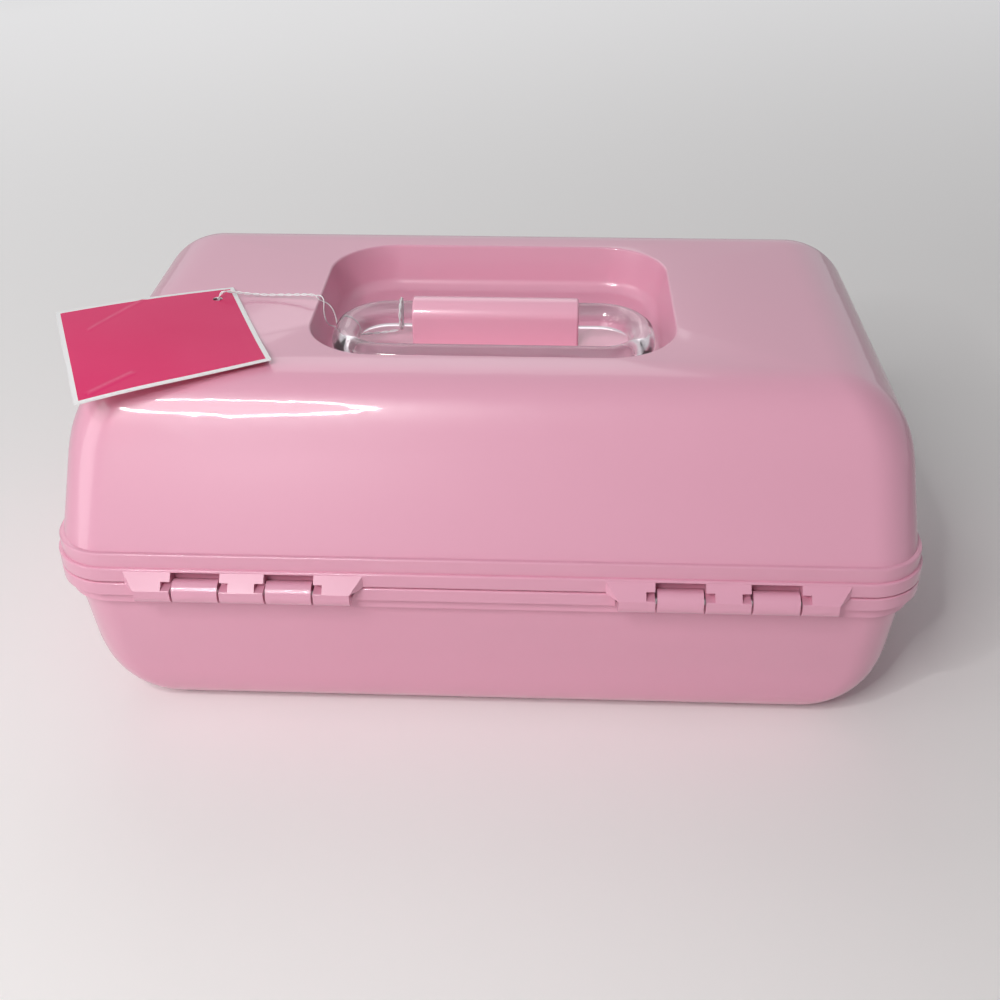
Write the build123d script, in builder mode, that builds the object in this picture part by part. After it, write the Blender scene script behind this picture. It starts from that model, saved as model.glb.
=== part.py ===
from build123d import *
from math import asin, atan2, cos, degrees, pi, radians, sin, sqrt, tan
import os

# Makeup storage case with a folding handle. Millimetres.
# X runs along the case, -Y is the latch side, +Y the hinge side, +Z up, origin bottom centre.
os.makedirs("parts", exist_ok=True)

# ---- driving dimensions of the case ----
case_width = 330.0  # across the two rims, along X
case_depth = 222.0  # across the two rims, along Y
case_height = 141.0
parting_height = 71.5  # where lid and base part
parting_gap = 0.6
wall = 2.5
rim_corner = 22.3  # plan radius of the rims
rim_edge = 0.7  # small radius on the rim edges
soft_edge = 1.0  # radius on the edges of the saddle, latch and mirror frame
cut_margin = 1.0  # how far a cutting solid runs past what it cuts
root = 1.0  # how far a rib, ear or barrel is rooted in the wall behind it

# ---- lid ----
lid_rim_height = 6.0
lid_step_height = 6.0
lid_step_inset = 1.2
lid_wall_inset = 3.0
lid_end_lean = 4.3  # degrees from vertical, end walls
lid_side_lean = 28.8  # degrees from vertical, front and rear walls
lid_end_roll = 33.0  # shoulder radius at the ends
lid_side_roll = 22.0  # shoulder radius front and rear
lid_top_corner = 3.0

# ---- base ----
base_rim_height = 5.2
base_step_height = 5.0
base_step_inset = 2.5
base_step_edge = 0.3
base_wall_inset = 5.0
base_end_lean = 3.0
base_side_lean = 8.6
base_end_roll = 34.0
base_side_roll = 17.2
base_bottom_corner = 13.0
tongue_height = 4.0
tongue_clearance = 0.4

# ---- handle recess in the lid ----
recess_length = 145.0
recess_depth_y = 111.0
recess_corner = 28.0
recess_drop = 19.0
recess_draft = 12.0
recess_floor_roll = 6.0
recess_lip = 1.0

# ---- handle ----
handle_length = 130.0  # outside to outside, along X
handle_reach = 41.0  # pivot bar centre to grip bar centre
handle_bar = 10.8
handle_corner = 17.0  # on the bar's centre line
pivot_drop = 8.4  # pivot axis below the lid top
bar_clearance = 0.1
saddle_length = 69.0
saddle_wall = 1.8
saddle_tab_width = 8.0
saddle_tab_spacing = 44.0
saddle_tab_clearance = 0.1
rib_clearance = 0.2

# ---- hinges ----
hinge_spacing = 180.0
hinge_stand_off = 1.0  # axis outside the rim face
hinge_drop = 2.0  # axis below the parting plane
knuckle_radius = 4.5
knuckle_sweep = 0.4  # room round a turning knuckle
knuckle_gap = 0.8
outer_knuckle = 13.5
middle_knuckle = 16.5
barrel_length = 17.0
barrel_set_in = 1.5  # root of the barrels behind the rear rim face
hood_splay = 4.5  # how much wider the hood is at the rim, each end
hood_nose_rise = 2.4  # flat nose above the axis
hood_drop = 0.2  # hood's slope starts this far below the step
window_drop = 0.9  # top of the windows below the step
notch_width = 3.3  # slot beside each window, outwards from it
notch_height = 2.4
notch_rise = 0.2  # slot's lower edge above the flat nose
hinge_pin_diameter = 2.6
pin_clearance = 0.08
pin_end_gap = 0.5  # a wire pin's end inside the mouth of its bore

# ---- latch ----
latch_width = 34.0
latch_ear = 4.0
latch_side_gap = 0.4
latch_radius = 3.2
latch_projection = 5.5  # lever's front beyond the rim, as far as the hinges stand out behind
latch_plate = 2.8
latch_hang = 16.0  # pivot axis down to the lever's lower edge
latch_pivot_rise = 6.0  # pivot axis above the parting plane
latch_pin_diameter = 2.0
latch_pad_width = 22.0
latch_pad_gap = 0.3
latch_ear_slope = 2.0  # rise of an ear's top edge towards the lid

# ---- cantilever trays ----
tray_end_room = 9.5  # for the arms, links and bosses, between tray and base wall
lower_tray_front_room = 7.5  # between tray and base wall
upper_tray_front_room = 4.5
lower_tray_set_in = 21.0  # tray's rear wall in front of the rear arms' pivots
upper_tray_set_in = 44.0
lower_tray_height = 21.0
upper_tray_height = 22.0
tray_spacing = 3.0  # between the lower tray's edge and the upper tray's floor
tray_wall = 1.8
tray_corner = 7.0
tray_edge = 0.6
lower_cells = 5
upper_cells = 7
divider_drop = 3.0  # dividers stop below the tray's edge

# ---- lift linkage: a true parallelogram with the lid ----
rear_pivot_set_in = 60.0  # rear arms' pivots in front of the lid's hinge axis
arm_spacing = 72.0  # between the rear and front arms' pivots
arm_pivot_height = 30.0
arm_rise = 25.0  # degrees above -Y with the lid shut
lower_tray_radius = 35.0
link_radius = 52.0
upper_tray_radius = 75.0
arm_width = 9.0
arm_thickness = 2.0
arm_gap = 0.4
link_gap = 0.3
link_pin_diameter = 3.0
pin_head_diameter = 5.4
pin_head = 1.0
boss_radius = 5.0
boss_root = 0.6  # share of the wall that a boss and its bore run into

# ---- mirror ----
mirror_width = 200.0
mirror_depth = 120.0
mirror_thickness = 2.0
mirror_frame_border = 10.0
mirror_frame_thickness = 4.5
mirror_drop = 42.5  # frame's underside below the lid top
mirror_clearance = 0.2
mirror_corner = 8.0
post_spacing_x = 96.0
post_spacing_y = 62.0
post_radius = 4.5
screw_diameter = 2.6
screw_head_diameter = 5.4
screw_head = 1.2
screw_bite = 7.0

# ---- hang tag and its string ----
tag_width = 72.0
tag_length = 76.0
tag_thickness = 0.8
tag_corner = 2.0
tag_turn = 22.8  # degrees about +Z
tag_centre = (128.5, 46.1)
tag_lift = 0.5  # above the lid top
tag_hole = (-27.6, -28.0)  # hole centre in the card's own axes
tag_hole_diameter = 4.0
string_diameter = 1.2
loop_x = 39.5  # where the string loops round the pivot bar
loop_clearance = 0.3
arc_share = 0.45  # of the shorter run beside a bend, taken up by its arc

# ---- places worked out from the dimensions above ----
half_width = case_width / 2
half_depth = case_depth / 2
lid_bottom = parting_height + parting_gap / 2
base_top = parting_height - parting_gap / 2
lid_step_z = lid_bottom + lid_rim_height
dome_z = lid_step_z + lid_step_height
base_step_z = base_top - base_rim_height
bowl_z = base_step_z - base_step_height
lid_wall_x = half_width - lid_wall_inset
lid_wall_y = half_depth - lid_wall_inset
base_wall_x = half_width - base_wall_inset
base_wall_y = half_depth - base_wall_inset
recess_floor_z = case_height - recess_drop
pivot_z = case_height - pivot_drop
bar_radius = handle_bar / 2
hinge_y = half_depth + hinge_stand_off
hinge_z = parting_height - hinge_drop
hinge_length = 2 * outer_knuckle + middle_knuckle + 2 * barrel_length + 4 * knuckle_gap
rear_pivot_y = hinge_y - rear_pivot_set_in
front_pivot_y = rear_pivot_y - arm_spacing
tray_end = base_wall_x - wall - tray_end_room
tray_length = 2 * tray_end
lower_tray_front = -(base_wall_y - wall - lower_tray_front_room)
upper_tray_front = -(base_wall_y - wall - upper_tray_front_room)
lower_tray_rear = rear_pivot_y - lower_tray_set_in
upper_tray_rear = rear_pivot_y - upper_tray_set_in
lower_tray_floor = arm_pivot_height
upper_tray_floor = lower_tray_floor + lower_tray_height + tray_spacing
arm_x = tray_end + arm_gap
link_x = arm_x + arm_thickness + link_gap
boss_x = link_x + arm_thickness + link_gap
arm_y = -cos(radians(arm_rise))
arm_z = sin(radians(arm_rise))
link_top_y = hinge_y + link_radius * arm_y
link_top_z = hinge_z + link_radius * arm_z
boss_skin = wall * boss_root
lid_boss_end = lid_wall_x - (link_top_z - dome_z) * tan(radians(lid_end_lean)) - boss_skin
base_boss_end = base_wall_x - (bowl_z - arm_pivot_height) * tan(radians(base_end_lean)) - boss_skin
link_bore_radius = link_pin_diameter / 2 + pin_clearance
arm_roots = [(rear_pivot_y, arm_pivot_height), (front_pivot_y, arm_pivot_height)]
latch_y = -(half_depth + latch_projection - latch_radius)
latch_z = parting_height + latch_pivot_rise
latch_span = latch_width + 2 * (latch_side_gap + latch_ear)
mirror_frame_underside = case_height - mirror_drop


# ---- helpers ----
def rolled_sections(half_x, half_y, corner, tip_corner, rise, lean_x, lean_y, roll_x, roll_y):
    # Rounded rectangles that lean inwards and then roll over to a flat end, as (rise, x, y, radius).
    def inset(level, lean, roll):
        slope = tan(radians(lean))
        tangent = rise - roll * (1 - sin(radians(lean)))
        if level <= tangent:
            return level * slope, 0.0
        centre = tangent * slope + roll * cos(radians(lean))
        over = level - (rise - roll)
        full = centre - sqrt(max(roll * roll - over * over, 0.0))
        return full, full - level * slope

    join = degrees(asin(1 - roll_y * (1 - sin(radians(lean_y))) / roll_x))
    steps = [lean_x + (join - lean_x) * k / 2 for k in range(3)]
    steps += [join + (90 - join) * k / 3 for k in range(1, 4)]
    levels = [0.0] + [rise - roll_x * (1 - sin(radians(a))) for a in steps]
    full_roll = max(inset(rise, lean_x, roll_x)[1], inset(rise, lean_y, roll_y)[1])
    rings = []
    for level in levels:
        in_x, rolled_x = inset(level, lean_x, roll_x)
        in_y, rolled_y = inset(level, lean_y, roll_y)
        share = max(rolled_x, rolled_y) / full_roll
        radius = corner + (tip_corner - corner) * share
        rings.append((level, half_x - in_x, half_y - in_y, radius))
    return rings


def rounded_ring(height, half_x, half_y, radius):
    with BuildSketch(Plane.XY.offset(height)) as ring:
        RectangleRounded(2 * half_x, 2 * half_y, radius)
    return ring.sketch


def lid_dome(offset):
    rings = rolled_sections(
        lid_wall_x - offset, lid_wall_y - offset, rim_corner - lid_wall_inset - offset,
        lid_top_corner, case_height - offset - dome_z,
        lid_end_lean, lid_side_lean, lid_end_roll - offset, lid_side_roll - offset,
    )
    return [rounded_ring(dome_z + level, x, y, radius) for level, x, y, radius in rings]


def base_bowl(offset):
    rings = rolled_sections(
        base_wall_x - offset, base_wall_y - offset, rim_corner - base_wall_inset - offset,
        base_bottom_corner - offset, bowl_z - offset,
        base_end_lean, base_side_lean, base_end_roll - offset, base_side_roll - offset,
    )
    return [rounded_ring(bowl_z - level, x, y, radius) for level, x, y, radius in rings]


def loft_rolled(rings, mode=Mode.ADD):
    # The straight wall is ruled, and the rolled edge is one smooth skin.
    loft(sections=rings[:2], ruled=True, mode=mode)
    loft(sections=rings[1:], mode=mode)


def recess_outline(offset, lip_height):
    # Section of the recess, or of its bowl when offset is positive, at the given height.
    run = (case_height - lip_height) * tan(radians(recess_draft))
    return (
        recess_length / 2 + offset - run,
        recess_depth_y / 2 + offset - run,
        recess_corner + offset - run,
    )


def along_x(start, length):
    # A sketch plane facing +X whose own axes are the case's Y and Z.
    return Plane(origin=(start, 0, 0), x_dir=(0, 1, 0), z_dir=(1, 0, 0)), length


def hinge_centres():
    return (-hinge_spacing / 2, hinge_spacing / 2)


def lid_knuckle_spans(centre):
    left = centre - hinge_length / 2
    first = (left, outer_knuckle)
    middle = (centre - middle_knuckle / 2, middle_knuckle)
    last = (left + hinge_length - outer_knuckle, outer_knuckle)
    return (first, middle, last)


def base_barrel_spans(centre):
    shift = middle_knuckle / 2 + knuckle_gap
    return ((centre - shift - barrel_length, barrel_length), (centre + shift, barrel_length))


def arm_point(pivot_y, radius):
    return pivot_y + radius * arm_y, arm_pivot_height + radius * arm_z


# ---- handle recess, as a solid to cut away ----
with BuildPart() as recess_tool:
    for level in (recess_floor_z, case_height):
        x, y, radius = recess_outline(0, level)
        with BuildSketch(Plane.XY.offset(level)):
            RectangleRounded(2 * x, 2 * y, radius)
    loft(ruled=True)
    fillet(recess_tool.faces().sort_by(Axis.Z)[0].edges(), recess_floor_roll)
    extrude(recess_tool.faces().sort_by(Axis.Z)[-1], cut_margin)

with BuildPart() as recess_bowl:
    for level in (recess_floor_z - wall, case_height - wall / 2):
        x, y, radius = recess_outline(wall, max(level, recess_floor_z))
        with BuildSketch(Plane.XY.offset(level)):
            RectangleRounded(2 * x, 2 * y, radius)
    loft(ruled=True)
    fillet(recess_bowl.faces().sort_by(Axis.Z)[0].edges(), recess_floor_roll + wall)

# ---- mirror posts' places, shared by lid, frame and screws ----
post_bottom = mirror_frame_underside + mirror_frame_thickness
post_places = [
    (sx * post_spacing_x / 2, sy * post_spacing_y / 2) for sx in (-1, 1) for sy in (-1, 1)
]
tab_x = saddle_tab_spacing / 2
tab_y = bar_radius + bar_clearance + saddle_wall / 2
tab_places = [(sx * tab_x, sy * tab_y) for sx in (-1, 1) for sy in (-1, 1)]

# ---- lid shell ----
with BuildPart() as lid_shell:
    with BuildSketch(Plane.XY.offset(lid_bottom)):
        RectangleRounded(case_width, case_depth, rim_corner)
    extrude(amount=lid_rim_height)
    fillet(lid_shell.edges().group_by(Axis.Z)[-1], rim_edge)
    fillet(lid_shell.edges().group_by(Axis.Z)[0], rim_edge)
    with BuildSketch(Plane.XY.offset(lid_step_z)):
        RectangleRounded(
            case_width - 2 * lid_step_inset, case_depth - 2 * lid_step_inset,
            rim_corner - lid_step_inset,
        )
    extrude(amount=lid_step_height)
    fillet(lid_shell.edges().group_by(Axis.Z)[-1], rim_edge)
    loft_rolled(lid_dome(0))
    # hood over each hinge, its ends splayed towards the rim
    for centre in hinge_centres():
        plane, length = along_x(centre - hinge_length / 2 - hood_splay, hinge_length + 2 * hood_splay)
        nose_y = hinge_y + knuckle_radius
        with BuildSketch(plane):
            with BuildLine():
                Polyline(
                    (half_depth - lid_wall_inset, lid_step_z),
                    (half_depth - rim_edge, lid_step_z - hood_drop),
                    (nose_y, hinge_z + hood_nose_rise),
                    (nose_y, hinge_z),
                    (half_depth - lid_wall_inset, hinge_z),
                    close=True,
                )
            make_face()
        extrude(amount=length)
        for side in (-1, 1):
            edge = centre + side * (hinge_length / 2 + hood_splay)
            with BuildSketch(Plane.XY.offset(hinge_z)):
                with BuildLine():
                    Polyline(
                        (edge, half_depth + hood_drop),
                        (edge - side * hood_splay, nose_y),
                        (edge - side * hood_splay, nose_y + cut_margin),
                        (edge + side * cut_margin, nose_y + cut_margin),
                        (edge + side * cut_margin, half_depth + hood_drop),
                        close=True,
                    )
                make_face()
            extrude(amount=lid_step_z - hinge_z + cut_margin, mode=Mode.SUBTRACT)
    # nothing of the hood but its knuckles reaches below the lid's rim
    with BuildSketch(Plane.XY.offset(hinge_z - cut_margin)):
        with Locations((0, hinge_y)):
            Rectangle(case_width, 2 * (knuckle_radius + lid_wall_inset))
    extrude(amount=lid_bottom - hinge_z + cut_margin, mode=Mode.SUBTRACT)
    for centre in hinge_centres():
        for start, length in lid_knuckle_spans(centre):
            plane, _ = along_x(start, length)
            with BuildSketch(plane):
                with Locations((hinge_y, hinge_z)):
                    Circle(knuckle_radius)
                with BuildLine():
                    Polyline(
                        (half_depth, lid_bottom + root),
                        (hinge_y - root, hinge_z),
                        (nose_y, hinge_z),
                        (nose_y, hinge_z + hood_nose_rise),
                        (nose_y - root, lid_bottom + root),
                        close=True,
                    )
                make_face()
            extrude(amount=length)
    # windows and side notches over the base's barrels
    window_foot = hinge_z - knuckle_radius - cut_margin
    for centre in hinge_centres():
        for start, length in base_barrel_spans(centre):
            middle = start + length / 2
            window = length + 2 * knuckle_gap
            with BuildSketch(Plane.XY.offset(window_foot)):
                with Locations((middle, nose_y)):
                    Rectangle(window, 2 * (2 * knuckle_radius + knuckle_sweep))
            extrude(amount=lid_step_z - window_drop - window_foot, mode=Mode.SUBTRACT)
            with BuildSketch(Plane.XY.offset(hinge_z + hood_nose_rise + notch_rise)):
                with Locations((middle, nose_y)):
                    Rectangle(window + 2 * notch_width, 2 * (nose_y - half_depth))
            extrude(amount=notch_height, mode=Mode.SUBTRACT)
    # hollow inside
    loft_rolled(lid_dome(wall), Mode.SUBTRACT)
    with BuildSketch(Plane.XY.offset(lid_bottom - cut_margin)):
        RectangleRounded(
            2 * (lid_wall_x - wall), 2 * (lid_wall_y - wall), rim_corner - lid_wall_inset - wall
        )
    extrude(amount=dome_z - lid_bottom + cut_margin, mode=Mode.SUBTRACT)
    # pin bores through the knuckles
    for centre in hinge_centres():
        plane, length = along_x(centre - hinge_length / 2 - cut_margin, hinge_length + 2 * cut_margin)
        with BuildSketch(plane):
            with Locations((hinge_y, hinge_z)):
                Circle(hinge_pin_diameter / 2 + pin_clearance)
        extrude(amount=length, mode=Mode.SUBTRACT)
    # handle recess with its bowl, and the rib that carries the pivot bar
    add(recess_bowl.part)
    add(recess_tool.part, mode=Mode.SUBTRACT)
    rib_half = bar_radius + bar_clearance - rib_clearance
    with BuildSketch(Plane.XY.offset(recess_floor_z - wall / 2)):
        Rectangle(saddle_length - 2 * saddle_wall, 2 * rib_half)
    extrude(amount=pivot_z - recess_floor_z + wall / 2 - root)
    plane, length = along_x(-saddle_length / 2, saddle_length)
    with BuildSketch(plane):
        with Locations((0, pivot_z)):
            Circle(bar_radius + bar_clearance)
    extrude(amount=length, mode=Mode.SUBTRACT)
    # slots for the saddle's tabs
    with BuildSketch(Plane.XY.offset(recess_floor_z)):
        with Locations(*tab_places):
            Rectangle(saddle_tab_width + 2 * saddle_tab_clearance, saddle_wall + 2 * saddle_tab_clearance)
    extrude(amount=-wall - cut_margin, mode=Mode.SUBTRACT)
    # posts for the mirror frame
    with BuildSketch(Plane.XY.offset(post_bottom)):
        with Locations(*post_places):
            Circle(post_radius)
    extrude(amount=recess_floor_z - wall / 2 - post_bottom)
    with BuildSketch(Plane.XY.offset(post_bottom)):
        with Locations(*post_places):
            Circle(screw_diameter / 2 + pin_clearance)
    extrude(amount=screw_bite + cut_margin, mode=Mode.SUBTRACT)
    # bosses for the lift links on the end walls, with a blind bore for the pin
    for start in (boss_x, -lid_boss_end):
        plane, length = along_x(start, lid_boss_end - boss_x)
        for radius, mode in ((boss_radius, Mode.ADD), (link_bore_radius, Mode.SUBTRACT)):
            with BuildSketch(plane):
                with Locations((link_top_y, link_top_z)):
                    Circle(radius)
            extrude(amount=length, mode=mode)
    # ears for the latch, and the hollow that its barrel turns in
    plane, length = along_x(-latch_span / 2, latch_span)
    with BuildSketch(plane):
        with Locations((latch_y, latch_z)):
            Circle(latch_radius)
        with BuildLine():
            Polyline(
                (latch_y, latch_z - latch_radius), (latch_y, latch_z + latch_radius),
                (lid_step_inset + root - half_depth, latch_z + latch_radius + latch_ear_slope),
                (root - half_depth, latch_z - latch_radius),
                close=True,
            )
        make_face()
    extrude(amount=length)
    plane, length = along_x(-latch_width / 2 - latch_side_gap, latch_width + 2 * latch_side_gap)
    with BuildSketch(plane):
        with Locations((latch_y, latch_z)):
            Circle(latch_radius + knuckle_sweep)
            with Locations((0, -latch_hang / 2)):
                Rectangle(2 * latch_radius + 2 * knuckle_sweep, latch_hang)
        with Locations((latch_y - latch_radius, latch_z)):
            Rectangle(2 * latch_radius, 4 * latch_radius)
    extrude(amount=length, mode=Mode.SUBTRACT)
    plane, length = along_x(-latch_span / 2 - cut_margin, latch_span + 2 * cut_margin)
    with BuildSketch(plane):
        with Locations((latch_y, latch_z)):
            Circle(latch_pin_diameter / 2 + pin_clearance)
    extrude(amount=length, mode=Mode.SUBTRACT)
    lip = lid_shell.edges().group_by(Axis.Z)[-1].filter_by(
        lambda e: abs(e.center().X) < recess_length / 2 and abs(e.center().Y) < recess_depth_y / 2 + root
    )
    fillet(lip, recess_lip)
lid_shell.part.label = "lid_shell"
export_step(lid_shell.part, "parts/lid_shell.step")

# ---- base shell ----
with BuildPart() as base_shell:
    loft_rolled(base_bowl(0))
    with BuildSketch(Plane.XY.offset(bowl_z)):
        RectangleRounded(
            case_width - 2 * base_step_inset, case_depth - 2 * base_step_inset,
            rim_corner - base_step_inset,
        )
    extrude(amount=base_step_height)
    fillet(base_shell.edges().group_by(Axis.Z)[-1], base_step_edge)
    with BuildSketch(Plane.XY.offset(base_step_z)):
        RectangleRounded(case_width, case_depth, rim_corner)
    extrude(amount=base_rim_height)
    fillet(base_shell.edges().group_by(Axis.Z)[-1], rim_edge)
    # tongue that enters the lid
    tongue_x = lid_wall_x - wall - tongue_clearance
    tongue_y = lid_wall_y - wall - tongue_clearance
    with BuildSketch(Plane.XY.offset(base_top - root)):
        RectangleRounded(2 * tongue_x, 2 * tongue_y, rim_corner - lid_wall_inset - wall - tongue_clearance)
    extrude(amount=tongue_height + root)
    # hollow inside
    loft_rolled(base_bowl(wall), Mode.SUBTRACT)
    with BuildSketch(Plane.XY.offset(bowl_z)):
        RectangleRounded(
            2 * (base_wall_x - wall), 2 * (base_wall_y - wall), rim_corner - base_wall_inset - wall
        )
    extrude(amount=base_top + tongue_height - bowl_z + cut_margin, mode=Mode.SUBTRACT)
    # hinge barrels on the rear rim
    for centre in hinge_centres():
        for start, length in base_barrel_spans(centre):
            plane, _ = along_x(start, length)
            with BuildSketch(plane):
                with Locations((hinge_y, hinge_z)):
                    Circle(knuckle_radius)
                with BuildLine():
                    Polyline(
                        (hinge_y, hinge_z - knuckle_radius), (hinge_y, base_top),
                        (half_depth - barrel_set_in, base_top),
                        (half_depth - base_step_inset - root, bowl_z + root),
                        close=True,
                    )
                make_face()
            extrude(amount=length)
    # pockets for the lid's knuckles
    for centre in hinge_centres():
        for start, length in lid_knuckle_spans(centre):
            plane, length = along_x(start - knuckle_gap, length + 2 * knuckle_gap)
            with BuildSketch(plane):
                with Locations((hinge_y, hinge_z)):
                    Circle(knuckle_radius + knuckle_sweep)
            extrude(amount=length, mode=Mode.SUBTRACT)
        plane, length = along_x(centre - hinge_length / 2 - cut_margin, hinge_length + 2 * cut_margin)
        with BuildSketch(plane):
            with Locations((hinge_y, hinge_z)):
                Circle(hinge_pin_diameter / 2 + pin_clearance)
        extrude(amount=length, mode=Mode.SUBTRACT)
    # bosses that carry the arms, with blind bores for their pins
    for start in (boss_x, -base_boss_end):
        plane, length = along_x(start, base_boss_end - boss_x)
        for radius, mode in ((boss_radius, Mode.ADD), (link_bore_radius, Mode.SUBTRACT)):
            with BuildSketch(plane):
                with Locations(*arm_roots):
                    Circle(radius)
            extrude(amount=length, mode=mode)
    # pad that the latch lever closes against
    pad_front = latch_y - latch_radius + latch_plate + latch_pad_gap
    pad_back = base_step_inset + root - half_depth
    pad_foot = latch_z - latch_hang + soft_edge
    with BuildSketch(Plane.XY.offset(pad_foot)):
        with Locations((0, (pad_front + pad_back) / 2)):
            Rectangle(latch_pad_width, pad_back - pad_front)
    extrude(amount=base_top - rim_edge - pad_foot)
base_shell.part.label = "base_shell"
export_step(base_shell.part, "parts/base_shell.step")

# ---- folding handle ----
with BuildPart() as handle_loop:
    bar_half = handle_length / 2 - bar_radius
    with BuildLine(Plane.XY.offset(pivot_z)) as loop_path:
        Line((0, 0), (bar_half - handle_corner, 0))
        RadiusArc((bar_half - handle_corner, 0), (bar_half, handle_corner), -handle_corner)
        Line((bar_half, handle_corner), (bar_half, handle_reach - handle_corner))
        RadiusArc(
            (bar_half, handle_reach - handle_corner), (bar_half - handle_corner, handle_reach),
            -handle_corner,
        )
        Line((bar_half - handle_corner, handle_reach), (0, handle_reach))
        mirror(about=Plane.YZ)
    with BuildSketch(Plane(origin=(0, 0, pivot_z), x_dir=(0, 1, 0), z_dir=(1, 0, 0))):
        Circle(bar_radius)
    sweep(path=loop_path.wire())
handle_loop.part.label = "handle_loop"
export_step(handle_loop.part, "parts/handle_loop.step")

# ---- saddle that holds the handle's pivot bar down ----
with BuildPart() as handle_saddle:
    plane, length = along_x(-saddle_length / 2, saddle_length)
    with BuildSketch(plane):
        saddle_half = bar_radius + bar_clearance + saddle_wall
        with Locations((0, pivot_z)):
            Circle(saddle_half)
        with Locations((0, (pivot_z + recess_floor_z) / 2)):
            Rectangle(2 * saddle_half, pivot_z - recess_floor_z)
    extrude(amount=length)
    fillet(handle_saddle.faces().filter_by(Axis.X).edges().filter_by(GeomType.CIRCLE), soft_edge)
    with BuildSketch(plane):
        with Locations((0, pivot_z)):
            Circle(bar_radius + bar_clearance)
        with Locations((0, (pivot_z + recess_floor_z) / 2)):
            Rectangle(2 * (bar_radius + bar_clearance), pivot_z - recess_floor_z)
    extrude(amount=length, mode=Mode.SUBTRACT)
    with BuildSketch(Plane.XY.offset(recess_floor_z)):
        with Locations(*tab_places):
            Rectangle(saddle_tab_width, saddle_wall)
    extrude(amount=-wall)
handle_saddle.part.label = "handle_saddle"
export_step(handle_saddle.part, "parts/handle_saddle.step")

# ---- hinge pins ----
for name, centre in zip(("hinge_pin_left", "hinge_pin_right"), hinge_centres()):
    with BuildPart() as hinge_pin:
        plane, length = along_x(centre - hinge_length / 2 + pin_end_gap, hinge_length - 2 * pin_end_gap)
        with BuildSketch(plane):
            with Locations((hinge_y, hinge_z)):
                Circle(hinge_pin_diameter / 2)
        extrude(amount=length)
    hinge_pin.part.label = name
    export_step(hinge_pin.part, f"parts/{name}.step")

# ---- latch lever and its pin ----
with BuildPart() as latch_lever:
    plane, length = along_x(-latch_width / 2, latch_width)
    front_y = latch_y - latch_radius
    with BuildSketch(plane):
        with Locations((latch_y, latch_z)):
            Circle(latch_radius)
        with Locations((front_y + latch_plate / 2, latch_z - latch_hang / 2)):
            Rectangle(latch_plate, latch_hang)
    extrude(amount=length)
    fillet(latch_lever.edges().group_by(Axis.Z)[0].filter_by(Axis.X), soft_edge)
    with BuildSketch(plane):
        with Locations((latch_y, latch_z)):
            Circle(latch_pin_diameter / 2 + pin_clearance)
    extrude(amount=length, mode=Mode.SUBTRACT)
latch_lever.part.label = "latch_lever"
export_step(latch_lever.part, "parts/latch_lever.step")

with BuildPart() as latch_pin:
    plane, length = along_x(-latch_span / 2 + pin_end_gap, latch_span - 2 * pin_end_gap)
    with BuildSketch(plane):
        with Locations((latch_y, latch_z)):
            Circle(latch_pin_diameter / 2)
    extrude(amount=length)
latch_pin.part.label = "latch_pin"
export_step(latch_pin.part, "parts/latch_pin.step")


# ---- trays ----
def tray(name, front, rear, floor, height, cells, pivots):
    depth = rear - front
    middle = (rear + front) / 2
    with BuildPart() as box:
        with BuildSketch(Plane.XY.offset(floor)):
            with Locations((0, middle)):
                RectangleRounded(tray_length, depth, tray_corner)
        extrude(amount=height)
        fillet(box.faces().sort_by(Axis.Z)[0].edges(), tray_edge + tray_wall)
        with BuildSketch(Plane.XY.offset(floor + tray_wall)):
            with Locations((0, middle)):
                RectangleRounded(
                    tray_length - 2 * tray_wall, depth - 2 * tray_wall, tray_corner - tray_wall
                )
        extrude(amount=height, mode=Mode.SUBTRACT)
        fillet(box.edges().group_by(Axis.Z)[-1], tray_edge)
        pitch = tray_length / cells
        with BuildSketch(Plane.XY.offset(floor + tray_wall / 2)):
            for k in range(1, cells):
                with Locations((-tray_length / 2 + k * pitch, middle)):
                    Rectangle(tray_wall, depth - tray_wall)
            with Locations((0, middle)):
                Rectangle(tray_length - tray_wall, tray_wall)
        extrude(amount=height - divider_drop)
        plane, length = along_x(-tray_end - cut_margin, tray_length + 2 * cut_margin)
        with BuildSketch(plane):
            with Locations(*pivots):
                Circle(link_bore_radius)
        extrude(amount=length, mode=Mode.SUBTRACT)
    box.part.label = name
    export_step(box.part, f"parts/{name}.step")


lower_pivots = [arm_point(y, lower_tray_radius) for y in (rear_pivot_y, front_pivot_y)]
upper_pivots = [arm_point(y, upper_tray_radius) for y in (rear_pivot_y, front_pivot_y)]
tray(
    "lower_tray", lower_tray_front, lower_tray_rear,
    lower_tray_floor, lower_tray_height, lower_cells, lower_pivots,
)
tray(
    "upper_tray", upper_tray_front, upper_tray_rear,
    upper_tray_floor, upper_tray_height, upper_cells, upper_pivots,
)


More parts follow.
